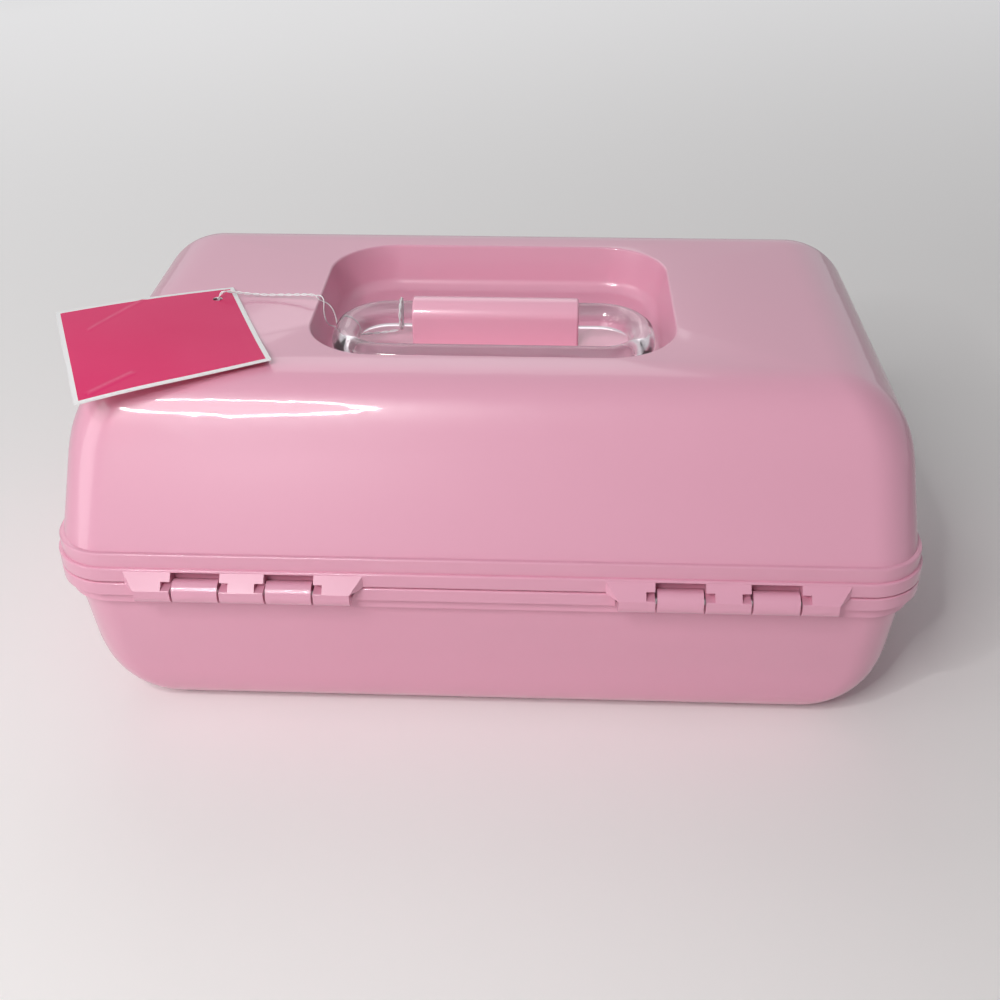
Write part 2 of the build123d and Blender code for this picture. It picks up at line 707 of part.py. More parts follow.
# ---- arms and lift links ----
def flat_bar(name, side, inner_x, start, stop, holes, headed):
    middle = ((start[0] + stop[0]) / 2, (start[1] + stop[1]) / 2)
    reach = sqrt((stop[0] - start[0]) ** 2 + (stop[1] - start[1]) ** 2)
    turn = degrees(atan2(stop[1] - start[1], stop[0] - start[0]))
    outer_x = inner_x + arm_thickness
    with BuildPart() as bar:
        plane, _ = along_x(inner_x if side > 0 else -outer_x, arm_thickness)
        with BuildSketch(plane):
            with Locations(middle):
                SlotCenterToCenter(reach, arm_width, rotation=turn)
            with Locations(*holes):
                Circle(link_bore_radius, mode=Mode.SUBTRACT)
        extrude(amount=arm_thickness)
        head_room = pin_head + pin_clearance
        plane, _ = along_x(inner_x if side > 0 else -inner_x - head_room, head_room)
        with BuildSketch(plane):
            with Locations(*headed):
                Circle(pin_head_diameter / 2 + pin_clearance)
        extrude(amount=head_room, mode=Mode.SUBTRACT)
    bar.part.label = name
    export_step(bar.part, f"parts/{name}.step")


radii = (0, lower_tray_radius, link_radius, upper_tray_radius)
for side, end in ((-1, "left"), (1, "right")):
    rear_holes = [arm_point(rear_pivot_y, radius) for radius in radii]
    front_holes = [arm_point(front_pivot_y, radius) for radius in (0, lower_tray_radius, upper_tray_radius)]
    flat_bar(
        f"rear_arm_{end}", side, arm_x, rear_holes[0], rear_holes[-1], rear_holes,
        [rear_holes[0], rear_holes[2]],
    )
    flat_bar(
        f"front_arm_{end}", side, arm_x, front_holes[0], front_holes[-1], front_holes,
        [front_holes[0]],
    )
    link_ends = [rear_holes[2], (link_top_y, link_top_z)]
    flat_bar(f"lift_link_{end}", side, link_x, link_ends[0], link_ends[1], link_ends, [link_ends[1]])


# ---- pivot pins, one group for each kind ----
def headed_pins(name, places, head_x, tip_x):
    with BuildPart() as pins:
        for side in (-1, 1):
            plane, _ = along_x(head_x if side > 0 else -head_x - pin_head, pin_head)
            with BuildSketch(plane):
                with Locations(*places):
                    Circle(pin_head_diameter / 2)
            extrude(amount=pin_head)
            plane, _ = along_x(head_x + pin_head if side > 0 else -tip_x, tip_x - head_x - pin_head)
            with BuildSketch(plane):
                with Locations(*places):
                    Circle(link_pin_diameter / 2)
            extrude(amount=tip_x - head_x - pin_head)
    pins.part.label = name
    export_step(pins.part, f"parts/{name}.step")


headed_pins("arm_pivot_pins", arm_roots, arm_x, base_boss_end - pin_clearance)
headed_pins("lower_tray_pins", lower_pivots, tray_end - tray_wall - pin_head, arm_x + arm_thickness)
headed_pins("upper_tray_pins", upper_pivots, tray_end - tray_wall - pin_head, arm_x + arm_thickness)
headed_pins("link_lower_pins", [arm_point(rear_pivot_y, link_radius)], arm_x, link_x + arm_thickness)
headed_pins("link_upper_pins", [(link_top_y, link_top_z)], link_x, lid_boss_end - pin_clearance)

# ---- mirror, its frame and the frame's screws ----
pocket_depth = mirror_thickness + mirror_clearance
with BuildPart() as mirror_frame:
    with BuildSketch(Plane.XY.offset(mirror_frame_underside)):
        RectangleRounded(
            mirror_width + 2 * mirror_frame_border, mirror_depth + 2 * mirror_frame_border,
            mirror_corner + mirror_frame_border,
        )
    extrude(amount=mirror_frame_thickness)
    fillet(mirror_frame.edges().group_by(Axis.Z)[0], soft_edge)
    with BuildSketch(Plane.XY.offset(mirror_frame_underside)):
        RectangleRounded(
            mirror_width + 2 * mirror_clearance, mirror_depth + 2 * mirror_clearance,
            mirror_corner + mirror_clearance,
        )
    extrude(amount=pocket_depth, mode=Mode.SUBTRACT)
    with BuildSketch(Plane.XY.offset(mirror_frame_underside + pocket_depth)):
        with Locations(*post_places):
            Circle(screw_head_diameter / 2 + pin_clearance)
    extrude(amount=screw_head, mode=Mode.SUBTRACT)
    with BuildSketch(Plane.XY.offset(mirror_frame_underside)):
        with Locations(*post_places):
            Circle(screw_diameter / 2 + pin_clearance)
    extrude(amount=mirror_frame_thickness, mode=Mode.SUBTRACT)
mirror_frame.part.label = "mirror_frame"
export_step(mirror_frame.part, "parts/mirror_frame.step")

with BuildPart() as mirror_plate:
    with BuildSketch(Plane.XY.offset(mirror_frame_underside + mirror_clearance)):
        RectangleRounded(mirror_width, mirror_depth, mirror_corner)
    extrude(amount=mirror_thickness)
mirror_plate.part.label = "mirror_plate"
export_step(mirror_plate.part, "parts/mirror_plate.step")

with BuildPart() as mirror_screws:
    head_z = mirror_frame_underside + pocket_depth
    with BuildSketch(Plane.XY.offset(head_z)):
        with Locations(*post_places):
            Circle(screw_head_diameter / 2)
    extrude(amount=screw_head)
    with BuildSketch(Plane.XY.offset(head_z + screw_head)):
        with Locations(*post_places):
            Circle(screw_diameter / 2)
    extrude(amount=post_bottom + screw_bite - head_z - screw_head)
mirror_screws.part.label = "mirror_screws"
export_step(mirror_screws.part, "parts/mirror_screws.step")

# ---- hang tag ----
with BuildPart() as hang_tag:
    tag_plane = Plane(
        origin=(*tag_centre, case_height + tag_lift),
        x_dir=(cos(radians(tag_turn)), sin(radians(tag_turn)), 0),
        z_dir=(0, 0, 1),
    )
    with BuildSketch(tag_plane):
        RectangleRounded(tag_width, tag_length, tag_corner)
        with Locations(tag_hole):
            Circle(tag_hole_diameter / 2, mode=Mode.SUBTRACT)
    extrude(amount=tag_thickness)
hang_tag.part.label = "hang_tag"
export_step(hang_tag.part, "parts/hang_tag.step")

# ---- string: up through the tag's hole, over the lid, down the recess and under the pivot bar ----
string_points = [
    (113.6, 9.4, 141.9), (113.1, 9.2, 144.0), (111.2, 8.3, 145.2), (107.4, 6.7, 144.2),
    (101.0, 5.7, 142.9), (91.0, 6.1, 142.8), (81.5, 7.2, 143.6), (75.4, 9.3, 144.7),
    (71.2, 10.5, 144.4), (68.8, 10.9, 139.8), (67.6, 10.2, 134.4), (66.7, 8.6, 129.8),
    (64.0, 6.2, 126.2), (58.4, 3.9, 124.5), (51.6, 1.9, 124.1), (45.6, 0.8, 124.4),
    (41.2, 0.2, 125.0),
]
string_radii = []
for before, corner, after in zip(string_points, string_points[1:], string_points[2:]):
    arrive = Vector(*corner) - Vector(*before)
    leave = Vector(*after) - Vector(*corner)
    half_turn = radians(arrive.get_angle(leave)) / 2
    string_radii.append(arc_share * min(arrive.length, leave.length) / tan(half_turn))
print("string radii", [round(radius, 1) for radius in string_radii])

with BuildPart() as tag_string:
    with BuildLine() as string_path:
        FilletPolyline(*string_points, radius=string_radii)
    with BuildSketch(Plane(origin=string_path.wire() @ 0, z_dir=string_path.wire() % 0)):
        Circle(string_diameter / 2)
    sweep(path=string_path.wire())
string_section = pi * string_diameter ** 2 / 4
string_length = string_path.wire().length
volume_ratio = tag_string.part.volume / (string_section * string_length)
print("string length", round(string_length, 1), "volume ratio", round(volume_ratio, 4))
tag_string.part.label = "tag_string"
export_step(tag_string.part, "parts/tag_string.step")

with BuildPart() as string_loop:
    loop_radius = bar_radius + loop_clearance + string_diameter / 2
    with BuildSketch(Plane(origin=(loop_x, loop_radius, pivot_z), x_dir=(0, 1, 0), z_dir=(0, 0, 1))):
        Circle(string_diameter / 2)
    revolve(axis=Axis((loop_x, 0, pivot_z), (1, 0, 0)))
string_loop.part.label = "string_loop"
export_step(string_loop.part, "parts/string_loop.step")
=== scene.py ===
import math
import bpy
import bmesh
import numpy as np
from mathutils import Matrix, Vector


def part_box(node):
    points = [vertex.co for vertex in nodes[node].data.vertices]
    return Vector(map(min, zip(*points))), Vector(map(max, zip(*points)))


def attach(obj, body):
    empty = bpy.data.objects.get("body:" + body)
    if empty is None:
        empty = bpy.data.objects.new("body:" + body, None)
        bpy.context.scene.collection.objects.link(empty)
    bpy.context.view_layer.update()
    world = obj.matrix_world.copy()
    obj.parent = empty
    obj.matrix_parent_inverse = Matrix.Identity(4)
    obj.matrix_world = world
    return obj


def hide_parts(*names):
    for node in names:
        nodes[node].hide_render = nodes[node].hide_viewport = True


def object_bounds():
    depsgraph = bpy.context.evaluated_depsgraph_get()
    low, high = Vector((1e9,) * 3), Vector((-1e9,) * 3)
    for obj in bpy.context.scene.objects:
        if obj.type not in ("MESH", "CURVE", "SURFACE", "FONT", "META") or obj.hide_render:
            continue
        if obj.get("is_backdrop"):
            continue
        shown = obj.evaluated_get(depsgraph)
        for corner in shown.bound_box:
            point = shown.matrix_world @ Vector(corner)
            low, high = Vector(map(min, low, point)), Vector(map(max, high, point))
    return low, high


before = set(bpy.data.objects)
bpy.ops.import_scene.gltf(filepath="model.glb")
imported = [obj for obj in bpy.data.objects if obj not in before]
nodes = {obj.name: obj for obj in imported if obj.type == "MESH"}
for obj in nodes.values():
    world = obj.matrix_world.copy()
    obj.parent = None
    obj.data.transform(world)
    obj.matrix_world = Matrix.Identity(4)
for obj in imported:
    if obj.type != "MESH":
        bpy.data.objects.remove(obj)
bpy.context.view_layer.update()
mm = 0.001
print("stage: frame loaded")


# helpers for objects and meshes
def placeInScene(name, data):
    made = bpy.data.objects.new(name, data)
    bpy.context.scene.collection.objects.link(made)
    return made


def newMesh(name, bm):
    mesh = bpy.data.meshes.new(name)
    bm.to_mesh(mesh)
    bm.free()
    return mesh


def readMesh(items, key, width=1, kind=float):
    values = np.zeros(len(items) * width, kind)
    items.foreach_get(key, values)
    return values.reshape(-1, width) if width > 1 else values


def onCircle(angle, side, up):
    # the point of a unit circle at this angle from side towards up
    return math.cos(angle) * side + math.sin(angle) * up


# helpers for shader nodes
def opaque(colour):
    return (*colour, 1)


def setInputs(tree, node, inputs):
    # each input gets a constant, or a link from another node's socket
    for key, value in inputs.items():
        if isinstance(value, bpy.types.NodeSocket):
            tree.links.new(value, node.inputs[key])
        else:
            node.inputs[key].default_value = value


def addNode(tree, kind, inputs=None, **settings):
    made = tree.nodes.new(kind)
    for key, value in settings.items():
        setattr(made, key, value)
    setInputs(tree, made, inputs or {})
    return made


def addMath(tree, operation, *values):
    inputs = dict(enumerate(values))
    return addNode(tree, "ShaderNodeMath", inputs, operation=operation).outputs[0]


def addNoise(tree, where, **inputs):
    return addNode(tree, "ShaderNodeTexNoise", {"Vector": where, **inputs}).outputs["Fac"]


def addSpread(tree, value, low, high, start=0.0, end=1.0):
    # start to end becomes low to high, and holds beyond both
    inputs = {
        "Value": value, "From Min": start, "From Max": end, "To Min": low, "To Max": high,
    }
    return addNode(tree, "ShaderNodeMapRange", inputs).outputs["Result"]


def addBlend(tree, factor, first, second):
    inputs = {"Factor": factor, "A": first, "B": second}
    return addNode(tree, "ShaderNodeMix", inputs, data_type="RGBA").outputs["Result"]


def addBump(tree, height, strength, reach):
    inputs = {"Height": height, "Strength": strength, "Distance": reach}
    return addNode(tree, "ShaderNodeBump", inputs).outputs["Normal"]


def newMaterial(name):
    material = bpy.data.materials.new(name)
    material.use_nodes = True
    tree = material.node_tree
    return material, tree, tree.nodes["Principled BSDF"]


# camera
photoCamera = {
    "place": (-22.43 * mm, 495.94 * mm, 358.21 * mm),
    "yaw": 2.42,       # degrees, from -Y towards +X
    "pitch": 32.61,    # degrees downwards
    "roll": -0.22,     # degrees
    "lens": 46.47,     # millimetres, on the sensor below
    "sensor": 36.0,
    "clipStart": 10.0 * mm,
}


def makeCamera(values):
    yaw, pitch, roll = (math.radians(values[key]) for key in ("yaw", "pitch", "roll"))
    look = Vector((
        math.sin(yaw) * math.cos(pitch), -math.cos(yaw) * math.cos(pitch), -math.sin(pitch),
    ))
    right = Vector((-math.cos(yaw), -math.sin(yaw), 0.0))
    up = right.cross(look)
    rolledRight = onCircle(roll, right, up)
    rolledUp = onCircle(roll, up, -right)
    data = bpy.data.cameras.new("photoCamera")
    data.lens = values["lens"]
    data.sensor_width = values["sensor"]
    data.clip_start = values["clipStart"]
    camera = placeInScene("photoCamera", data)
    turn = Matrix((rolledRight, rolledUp, -look)).transposed().to_4x4()
    camera.matrix_world = Matrix.Translation(values["place"]) @ turn
    bpy.context.scene.camera = camera


# room
room = {
    "floorColour": (0.915, 0.895, 0.885),
    "floorSize": 6.0,
    "floorDrop": 0.2 * mm,           # gap under the case
    "floorRoughness": 0.9,
    "floorSpecular": 0.2,
    "skyColour": (0.97, 0.98, 1.0),
    "skyAbove": 0.34,                # strength that lights the object from overhead
    "skyAround": 0.14,               # and from the sides
    "skyLean": (0.45, 0.10, 1.0),    # way in which the sky grows brighter
    "skyShown": 0.72,                # strength seen behind the object, in gloss and in clear parts
    "glow": 0.36,                    # floor's own light, from nothing near to this far off
    "glowFrom": 0.45,                # metres from the centre below
    "glowTo": 1.75,
    # centre of the painted floor glow, off towards the shaded side
    "glowCentre": (-0.35, 0.25, 0.0),
}


def glowFarOff(tree, values):
    # painted light: the floor glows for camera rays alone, more the farther it lies from
    # glowCentre, so the distant cloth looks pale; the centre sits off towards the shaded side, so
    # the floor there gets no painted light
    place = addNode(tree, "ShaderNodeTexCoord")
    inputs = {0: place.outputs["Object"], 1: values["glowCentre"]}
    away = addNode(tree, "ShaderNodeVectorMath", inputs, operation="DISTANCE")
    rise = addSpread(
        tree, away.outputs["Value"], 0.0, values["glow"], values["glowFrom"], values["glowTo"],
    )
    path = addNode(tree, "ShaderNodeLightPath")
    return addMath(tree, "MULTIPLY", rise, path.outputs["Is Camera Ray"])


def makeFloor(values):
    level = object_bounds()[0].z - values["floorDrop"]
    half = values["floorSize"] / 2
    corners = [(-half, -half, 0), (half, -half, 0), (half, half, 0), (-half, half, 0)]
    mesh = bpy.data.meshes.new("studioFloor")
    mesh.from_pydata(corners, [], [(0, 1, 2, 3)])
    material, tree, shader = newMaterial("studioCloth")
    setInputs(tree, shader, {
        "Base Color": opaque(values["floorColour"]),
        "Roughness": values["floorRoughness"],
        "Specular IOR Level": values["floorSpecular"],
        "Emission Color": opaque(values["skyColour"]),
        "Emission Strength": glowFarOff(tree, values),
    })
    mesh.materials.append(material)
    floor = placeInScene("studioFloor", mesh)
    floor.location.z = level
    floor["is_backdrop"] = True


def makeSky(values):
    world = bpy.data.worlds.new("studioSky")
    world.use_nodes = True
    tree = world.node_tree
    tree.nodes.clear()
    path = addNode(tree, "ShaderNodeLightPath")
    seen = path.outputs["Is Camera Ray"]
    for ray in ("Is Glossy Ray", "Is Transmission Ray"):
        seen = addMath(tree, "MAXIMUM", seen, path.outputs[ray])
    way = addNode(tree, "ShaderNodeTexCoord")
    inputs = {0: way.outputs["Generated"], 1: values["skyLean"]}
    height = addNode(tree, "ShaderNodeVectorMath", inputs, operation="DOT_PRODUCT")
    rise = addSpread(tree, height.outputs["Value"], values["skyAround"], values["skyAbove"])
    colour = opaque(values["skyColour"])
    lit = addNode(tree, "ShaderNodeBackground", {"Color": colour, "Strength": rise})
    shown = addNode(
        tree, "ShaderNodeBackground", {"Color": colour, "Strength": values["skyShown"]},
    )
    mix = addNode(tree, "ShaderNodeMixShader", {0: seen, 1: lit.outputs[0], 2: shown.outputs[0]})
    addNode(tree, "ShaderNodeOutputWorld", {"Surface": mix.outputs[0]})
    bpy.context.scene.world = world


# flat lamps: places and sizes in metres, power in watts
sheetLamps = {
    "sideSheet": dict(
        place=(1.50, 0.70, 0.68), target=(0.05, 0.0, 0.07), size=(0.90, 0.90),
        power=5.0, colour=(1.0, 0.99, 0.98),
    ),
    "rearSheet": dict(
        place=(0.30, -1.10, 1.15), target=(0.0, 0.0, 0.1), size=(1.10, 0.90),
        power=3.2, colour=(1.0, 1.0, 1.0),
    ),
}

# a round lamp in short strips: its image in the gloss is a ring, or two thin lines along a rounding
ringLamp = {
    "centre": (0.295, 0.680, 0.686), "target": (0.07, 0.08, 0.12),
    "radius": 0.135, "band": 0.018, "strips": 18,
    "power": 4.45, "colour": (1.0, 0.99, 0.98),
}


def addLamp(name, size, power, colour):
    data = bpy.data.lights.new(name, "AREA")
    data.shape = "RECTANGLE"
    data.size, data.size_y = size
    data.energy = power
    data.color = colour
    return placeInScene(name, data)


def makeSheetLamp(name, values):
    lamp = addLamp(name, values["size"], values["power"], values["colour"])
    way = Vector(values["target"]) - Vector(values["place"])
    lamp.location = values["place"]
    lamp.rotation_mode = "QUATERNION"
    lamp.rotation_quaternion = way.to_track_quat("-Z", "Y")


def makeRingLamp(values):
    centre = Vector(values["centre"])
    back = (centre - Vector(values["target"])).normalized()
    across = Vector((0, 0, 1)).cross(back).normalized()
    rise = back.cross(across)
    count, radius = values["strips"], values["radius"]
    size = (2 * radius * math.tan(math.pi / count), values["band"])
    for k in range(count):
        out = onCircle(2 * math.pi * k / count, across, rise)
        along = back.cross(out)
        strip = addLamp(f"ringStrip{k}", size, values["power"] / count, values["colour"])
        turn = Matrix((along, back.cross(along), back)).transposed().to_4x4()
        strip.matrix_world = Matrix.Translation(centre + radius * out) @ turn


makeCamera(photoCamera)
makeFloor(room)
makeSky(room)
for name, values in sheetLamps.items():
    makeSheetLamp(name, values)
makeRingLamp(ringLamp)
bpy.context.scene.view_settings.view_transform = "Standard"
print("stage: camera, room and lamps")


# moulded plastic: one skin group, placed in each material with its own values
skinDetail = {
    "smearScale": 34.0, "smearDetail": 6.0, "smearWarp": 1.3,
    "smearFrom": 0.35, "smearTo": 0.70,    # noise values at which a smear begins and is full
    "waveReach": 2.0 * mm,
}

plastics = {
    "casePink": dict(
        base=(0.780, 0.370, 0.498), shade=(0.757, 0.348, 0.474),
        roughness=0.30, smear=0.02, wave=0.004, ior=1.50, coat=0.6, coatRoughness=0.055,
    ),
    # painted light: the saddle is the case's own pink plastic, given a lighter, paler colour to
    # stand in for the brighter light that falls on it
    "saddlePinkPaintedLight": dict(
        base=(0.930, 0.455, 0.595), shade=(0.915, 0.440, 0.580),
        roughness=0.26, smear=0.012, wave=0.003, ior=1.50, coat=0.6, coatRoughness=0.055,
    ),
    "trayPink": dict(
        base=(0.820, 0.500, 0.600), shade=(0.800, 0.475, 0.575),
        roughness=0.34, smear=0.06, wave=0.006, ior=1.49, coat=0.2, coatRoughness=0.12,
    ),
}


def newGroup(name, inputs, outputs):
    group = bpy.data.node_groups.new(name, "ShaderNodeTree")
    for label, kind, value in inputs:
        socket = group.interface.new_socket(label, in_out="INPUT", socket_type=kind)
        socket.default_value = value
    for label, kind in outputs:
        group.interface.new_socket(label, in_out="OUTPUT", socket_type=kind)
    return group, group.nodes.new("NodeGroupInput"), group.nodes.new("NodeGroupOutput")


def makeMouldedSkin(values):
    # slow colour drift, faint handling smears and a mould's slight waviness
    skin, groupInput, groupOutput = newGroup(
        "mouldedSkin",
        [
            ("Base", "NodeSocketColor", (0.8, 0.4, 0.5, 1)),
            ("Shade", "NodeSocketColor", (0.7, 0.3, 0.4, 1)),
            ("Drift Scale", "NodeSocketFloat", 9.0),
            ("Wave Scale", "NodeSocketFloat", 45.0),
            ("Roughness", "NodeSocketFloat", 0.3),
            ("Smear", "NodeSocketFloat", 0.06),
            ("Wave Depth", "NodeSocketFloat", 0.04),
        ],
        [
            ("Colour", "NodeSocketColor"),
            ("Roughness", "NodeSocketFloat"),
            ("Normal", "NodeSocketVector"),
        ],
    )
    given = groupInput.outputs
    where = addNode(skin, "ShaderNodeTexCoord").outputs["Object"]
    drift = addNoise(skin, where, Scale=given["Drift Scale"], Detail=3.0)
    touched = addNoise(
        skin, where, Scale=values["smearScale"], Detail=values["smearDetail"],
        Distortion=values["smearWarp"],
    )
    smear = addSpread(skin, touched, 0.0, 1.0, values["smearFrom"], values["smearTo"])
    smearRoughness = addMath(skin, "MULTIPLY", smear, given["Smear"])
    wave = addNoise(skin, where, Scale=given["Wave Scale"], Detail=1.0)
    setInputs(skin, groupOutput, {
        "Colour": addBlend(skin, drift, given["Base"], given["Shade"]),
        "Roughness": addMath(skin, "ADD", smearRoughness, given["Roughness"]),
        "Normal": addBump(skin, wave, given["Wave Depth"], values["waveReach"]),
    })
    return skin


mouldedSkin = makeMouldedSkin(skinDetail)


def plasticMaterial(name, values):
    material, tree, shader = newMaterial(name)
    skin = addNode(tree, "ShaderNodeGroup", {
        "Base": opaque(values["base"]), "Shade": opaque(values["shade"]),
        "Roughness": values["roughness"], "Smear": values["smear"],
        "Wave Depth": values["wave"],
    }, node_tree=mouldedSkin)
    setInputs(tree, shader, {
        "Base Color": skin.outputs["Colour"],
        "Roughness": skin.outputs["Roughness"],
        "Normal": skin.outputs["Normal"],
        "IOR": values["ior"],
        "Coat Weight": values["coat"],
        "Coat Roughness": values["coatRoughness"],
    })
    return material


# clear plastic: a slight haze in the gloss and a faint ripple
clears = {
    "clearHandle": dict(
        colour=(0.865, 0.785, 0.825), clarity=0.96, ior=1.49, roughness=0.015,
        haze=0.04, hazeScale=30.0, ripple=0.05, rippleScale=60.0, rippleReach=0.5 * mm,
    ),
    "clearString": dict(
        colour=(0.96, 0.96, 0.965), clarity=0.15, ior=1.45, roughness=0.16,
        haze=0.1, hazeScale=400.0, ripple=0.1, rippleScale=900.0, rippleReach=0.5 * mm,
    ),
}


def clearMaterial(name, values):
    material, tree, shader = newMaterial(name)
    where = addNode(tree, "ShaderNodeTexCoord").outputs["Object"]
    haze = addNoise(tree, where, Scale=values["hazeScale"], Detail=4.0)
    ripple = addNoise(tree, where, Scale=values["rippleScale"], Detail=1.0)
    smooth = values["roughness"]
    setInputs(tree, shader, {
        "Base Color": opaque(values["colour"]),
        "Transmission Weight": values["clarity"],
        "IOR": values["ior"],
        "Roughness": addSpread(tree, haze, smooth, smooth + values["haze"]),
        "Normal": addBump(tree, ripple, values["ripple"], values["rippleReach"]),
    })
    return material


# steel pins with drawn lines along X, and the mirror with a thin film on it
metals = {
    "pinSteel": dict(
        grain=(40.0, 900.0, 900.0), detail=3.0, grainFrom=0.0, grainTo=1.0,
        tone=(0.52, 0.52, 0.54), otherTone=(0.66, 0.66, 0.68), roughness=(0.22, 0.42),
    ),
    "mirrorGlass": dict(
        grain=(22.0, 22.0, 22.0), detail=5.0, grainFrom=0.45, grainTo=0.80,
        tone=(0.88, 0.89, 0.90), otherTone=(0.84, 0.85, 0.87), roughness=(0.015, 0.07),
    ),
}


def metalMaterial(name, values):
    material, tree, shader = newMaterial(name)
    place = addNode(tree, "ShaderNodeTexCoord")
    drawn = addNode(
        tree, "ShaderNodeMapping",
        {"Vector": place.outputs["Object"], "Scale": values["grain"]},
    )
    grain = addNoise(tree, drawn.outputs["Vector"], Scale=1.0, Detail=values["detail"])
    setInputs(tree, shader, {
        "Base Color": addBlend(tree, grain, opaque(values["tone"]), opaque(values["otherTone"])),
        "Roughness": addSpread(
            tree, grain, *values["roughness"], values["grainFrom"], values["grainTo"],
        ),
        "Metallic": 1.0,
    })
    return material


materials = {name: plasticMaterial(name, values) for name, values in plastics.items()}
materials |= {name: clearMaterial(name, values) for name, values in clears.items()}
materials |= {name: metalMaterial(name, values) for name, values in metals.items()}
print("stage: materials")


# moulded and metal parts keep their CAD meshes
finishes = {
    "casePink": ["base_shell", "lid_shell", "latch_lever"],
    # the handle saddle gets the case plastic in its lighter colour, with painted light
    "saddlePinkPaintedLight": ["handle_saddle"],
    "trayPink": [
        "lower_tray", "upper_tray", "mirror_frame", "rear_arm_left", "rear_arm_right",
        "front_arm_left", "front_arm_right", "lift_link_left", "lift_link_right",
    ],
    "clearHandle": ["handle_loop"],
    "pinSteel": [
        "hinge_pin_left", "hinge_pin_right", "latch_pin", "mirror_screws", "arm_pivot_pins",
        "lower_tray_pins", "upper_tray_pins", "link_lower_pins", "link_upper_pins",
    ],
    "mirrorGlass": ["mirror_plate"],
}

shading = {
    "creaseAngle": 32.0,    # degrees; faces that meet at more keep a hard edge
    "decimals": 7,          # of a metre, to which two points are the same place
    "tiny": 1e-9,           # keeps lengths and weights off zero
}


def cornerAngles(spots, sizes, tiny):
    # each face's angle at each of its corners
    starts = np.repeat(np.cumsum(sizes) - sizes, sizes)
    counts = np.repeat(sizes, sizes)
    step = np.arange(len(spots)) - starts
    onward = spots[starts + (step + 1) % counts] - spots
    back = spots[starts + (step - 1) % counts] - spots
    lengths = np.linalg.norm(onward, axis=1) * np.linalg.norm(back, axis=1)
    return np.arccos(np.clip((onward * back).sum(1) / np.maximum(lengths, tiny ** 2), -1, 1))


def smoothShade(piece, values):
    # normals are averaged over corners that share a place, except across a crease, and each
    # face counts by its angle there
    mesh, tiny = piece.data, values["tiny"]
    places = np.round(readMesh(mesh.vertices, "co", 3), values["decimals"])
    shared = np.unique(places, axis=0, return_inverse=True)[1].ravel()
    corners = readMesh(mesh.loops, "vertex_index", kind=int)
    sizes = readMesh(mesh.polygons, "loop_total", kind=int)
    normals = np.repeat(readMesh(mesh.polygons, "normal", 3), sizes, axis=0)
    weights = cornerAngles(places[corners], sizes, tiny) + tiny
    limit = math.cos(math.radians(values["creaseAngle"]))
    order = np.argsort(shared[corners], kind="stable")
    breaks = np.flatnonzero(np.diff(shared[corners][order])) + 1
    result = np.zeros((len(corners), 3))
    for group in np.split(order, breaks):
        facing = normals[group]
        near = (facing @ facing.T) > limit
        summed = (near * weights[group]) @ facing
        lengths = np.linalg.norm(summed, axis=1, keepdims=True)
        result[group] = np.where(lengths > tiny, summed / np.maximum(lengths, tiny), facing)
    mesh.polygons.foreach_set("use_smooth", np.ones(len(mesh.polygons), bool))
    mesh.normals_split_custom_set(result.tolist())


for finish, names in finishes.items():
    for name in names:
        piece = nodes[name]
        piece.data.materials.clear()
        piece.data.materials.append(materials[finish])
        smoothShade(piece, shading)
print("stage: CAD parts dressed")


# hang tag: a thin printed card, with x across and y along it from its middle
hangTag = {
    "width": 72.0 * mm, "length": 77.0 * mm, "thickness": 0.5 * mm,
    "corner": 0.6 * mm, "border": 1.8 * mm,
    "turn": 22.8,                               # degrees about the vertical
    "cells": (72, 76), "sharpAngle": 40.0,
    "hole": (-27.6 * mm, -28.0 * mm), "holeRadius": 2.0 * mm,
    "holeSides": 40, "punchDepth": 20.0 * mm,
    "bow": 0.8 * mm,                            # rise along the middle
    "droop": 3.2 * mm, "droopPower": 1.6,       # of the corner past the shoulder
    "curl": 7.26 * mm, "curlFrom": 0.45,        # of the corner that turns up
    # each crease: one end, the other, depth and half width
    "creases": [
        ((1.1 * mm, -37.2 * mm), (24.5 * mm, -17.0 * mm), 0.35 * mm, 1.2 * mm),
        ((30.0 * mm, 33.0 * mm), (14.0 * mm, 26.0 * mm), 0.40 * mm, 1.8 * mm),
    ],
    "creaseOverrun": 0.05,                      # past each end, as a share of its length
    "creaseWear": 0.5,                          # how far the ink is rubbed off along its middle
    "white": (0.88, 0.87, 0.88), "worn": (0.800, 0.200, 0.330),
    "card": (0.760, 0.010, 0.140), "cardShade": (0.710, 0.008, 0.122), "driftScale": 28.0,
    "fibreScale": 1800.0, "fibreDepth": 0.12, "fibreReach": 0.2 * mm,
    "roughness": (0.32, 0.46), "specular": 0.18, "coat": 0.05, "coatRoughness": 0.18,
}


